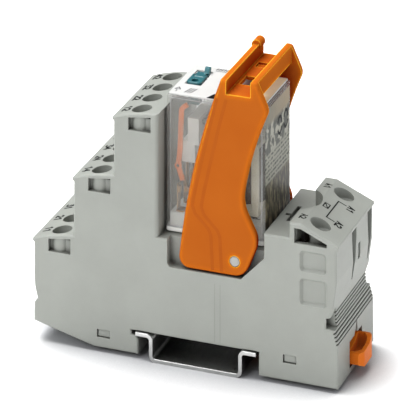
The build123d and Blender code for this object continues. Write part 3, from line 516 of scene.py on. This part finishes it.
def add_lever_shading_bands():
    """Painted shading bands along the outer faces of the lever's arms, a shade darker than the orange, for
    the light and shade on the arms' contours.
    """
    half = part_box("retaining_lever")[1].y
    shape = [(0.0, 74.5), (-2.0, 67.0), (-4.3, 57.6), (-6.3, 49.0), (-7.2, 44.4), (-6.4, 42.2),
             (-2.6, 38.6), (-1.8, 37.0), (-1.3, 27.6)]
    for side in (-1, 1):
        def on_arm(x, z):
            return Vector((x * MM, side * half, z * MM)), Vector((0, side, 0))

        bands = Print(on_arm)
        for shift in (6.0, 8.6):
            bands.ribbon([(x + shift, z) for x, z in shape], 0.9)
        place = "near" if side < 0 else "far"
        bands.build("lever_shading_bands_" + place, "lever", LEVER_SHADING)


def add_seams():
    """Two faint knit lines down each side of the socket, below the lever's pivot."""
    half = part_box("socket_housing")[1].y
    for side in (-1, 1):
        seam = Print(lambda x, z: (Vector((x * MM, side * half, z * MM)), Vector((0, side, 0))))
        for x in (5.4, 7.0):
            seam.line((x, 24.0), (x, 8.2), 0.22)
        seam.build("seams_near" if side < 0 else "seams_far", "socket", SEAM)


def add_winding():
    """Coil winding with its turns of wire, in place of the plain sleeve."""
    low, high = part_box("coil_winding")
    centre = (low + high) / 2
    radius = (high.x - low.x) / 2
    inner, groove = radius - 1.8 * MM, 0.16 * MM
    turns, sides = 52, 72
    pitch = (high.z - low.z) / turns
    profile = [(inner, low.z)]
    for k in range(turns):
        for part in range(4):
            swell = math.sin(math.pi * part / 4)
            profile.append((radius - groove * (1 - swell), low.z + pitch * (k + part / 4)))
    profile += [(radius - groove, high.z), (inner, high.z)]
    verts = []
    for k in range(sides):
        angle = 2 * math.pi * k / sides
        verts += [(centre.x + r * math.cos(angle), r * math.sin(angle), z) for r, z in profile]
    count = len(profile)
    faces = [
        (k * count + i, (k + 1) % sides * count + i, (k + 1) % sides * count + (i + 1) % count,
         k * count + (i + 1) % count)
        for k in range(sides) for i in range(count)
    ]
    winding = add_piece("winding_turns", verts, faces, "relay", COPPER, smooth=True)
    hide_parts("coil_winding")


add_terminal_numbers()
add_label_print()
add_end_film()
add_winding()
add_lever_shading_bands()
add_seams()

# ------------------------------------------------------------------ camera, light and floor
AIM = Vector((-6.0, 0.0, 36.15)) * MM   # what the camera and the lights look at
AZIMUTH, ELEVATION = math.radians(20.72), math.radians(23.53)
DISTANCE = 1087.3 * MM
SENSOR, LENS = 36.0, 346.835        # mm
SHIFT = (0.020907, 0.014338)        # of the frame's width


def add_camera():
    """View camera whose image plane stays vertical, so that upright edges stay upright.

    The skew sits in the parent's inverse matrix, because a camera's own place can't hold one.
    """
    right = Vector((math.cos(AZIMUTH), math.sin(AZIMUTH), 0))
    back = Vector((
        math.sin(AZIMUTH) * math.cos(ELEVATION), -math.cos(AZIMUTH) * math.cos(ELEVATION),
        math.sin(ELEVATION),
    ))
    sheared = Matrix((right, Vector((0, 0, 1)), back)).transposed().to_4x4()
    sheared.translation = AIM + back * (DISTANCE / math.cos(ELEVATION))
    holder = bpy.data.objects.new("camera_holder", None)
    data = bpy.data.cameras.new("camera")
    camera = bpy.data.objects.new("camera", data)
    for thing in (holder, camera):
        bpy.context.scene.collection.objects.link(thing)
    camera.parent = holder
    camera.matrix_parent_inverse = sheared
    data.sensor_width = SENSOR
    data.lens = LENS / math.cos(ELEVATION)
    data.shift_x, data.shift_y = SHIFT
    data.clip_start, data.clip_end = 0.05, 20.0
    bpy.context.scene.camera = camera


def add_light(name, place, size, power):
    """A white soft box at place, turned to the object."""
    data = bpy.data.lights.new(name, "AREA")
    data.shape = "RECTANGLE"
    data.size, data.size_y = size
    data.energy = power
    lamp = bpy.data.objects.new(name, data)
    bpy.context.scene.collection.objects.link(lamp)
    lamp.location = place
    lamp.rotation_mode = "QUATERNION"
    lamp.rotation_quaternion = (AIM - Vector(place)).to_track_quat("-Z", "Y")


def floor_white():
    """White that glows a little in the open, with a painted blue grey shadow where the object shuts the
    light out.
    """
    p = Paint("floor_white")
    node = p.add("ShaderNodeAmbientOcclusion", samples=16)
    node.inputs["Distance"].default_value = 55 * MM
    # Painted shadow: near the object the floor turns blue grey and glows less.
    shade = p.span(node.outputs["AO"], 0.4, 0.85, 0.66, 0.0)
    p.set(
        Base_Color=p.mix(shade, (0.94, 0.94, 0.94, 1), srgb("#70747E")), Roughness=0.7,
        Emission_Color=(1, 1, 1, 1),
        Emission_Strength=p.span(node.outputs["AO"], 0.42, 0.95, 0.0, 0.28),
    )
    return p.material


def add_floor():
    """Pale floor just under the object."""
    half, gap = 6.0, 0.02 * MM
    corners = [(-half, -half, 0), (half, -half, 0), (half, half, 0), (-half, half, 0)]
    mesh = bpy.data.meshes.new("floor")
    mesh.from_pydata(corners, [], [(0, 1, 2, 3)])
    mesh.materials.append(floor_white())
    floor = bpy.data.objects.new("floor", mesh)
    floor.location.z = CAD_BOX[0].z - gap
    bpy.context.scene.collection.objects.link(floor)


def add_world():
    """Even white surroundings."""
    world = bpy.data.worlds.new("studio")
    bpy.context.scene.world = world
    world.use_nodes = True
    background = world.node_tree.nodes["Background"]
    background.inputs["Color"].default_value = (1, 1, 1, 1)
    background.inputs["Strength"].default_value = 0.24


add_camera()
add_floor()
add_world()
add_light("key", (-0.7, -1.5, 1.15), (1.2, 1.2), 17.6)
add_light("top", (-0.3, 0.1, 1.0), (0.9, 0.7), 16.0)
add_light("side", (0.9, -0.25, 0.6), (0.5, 0.6), 2.3)
bpy.context.scene.view_settings.view_transform = "Standard"
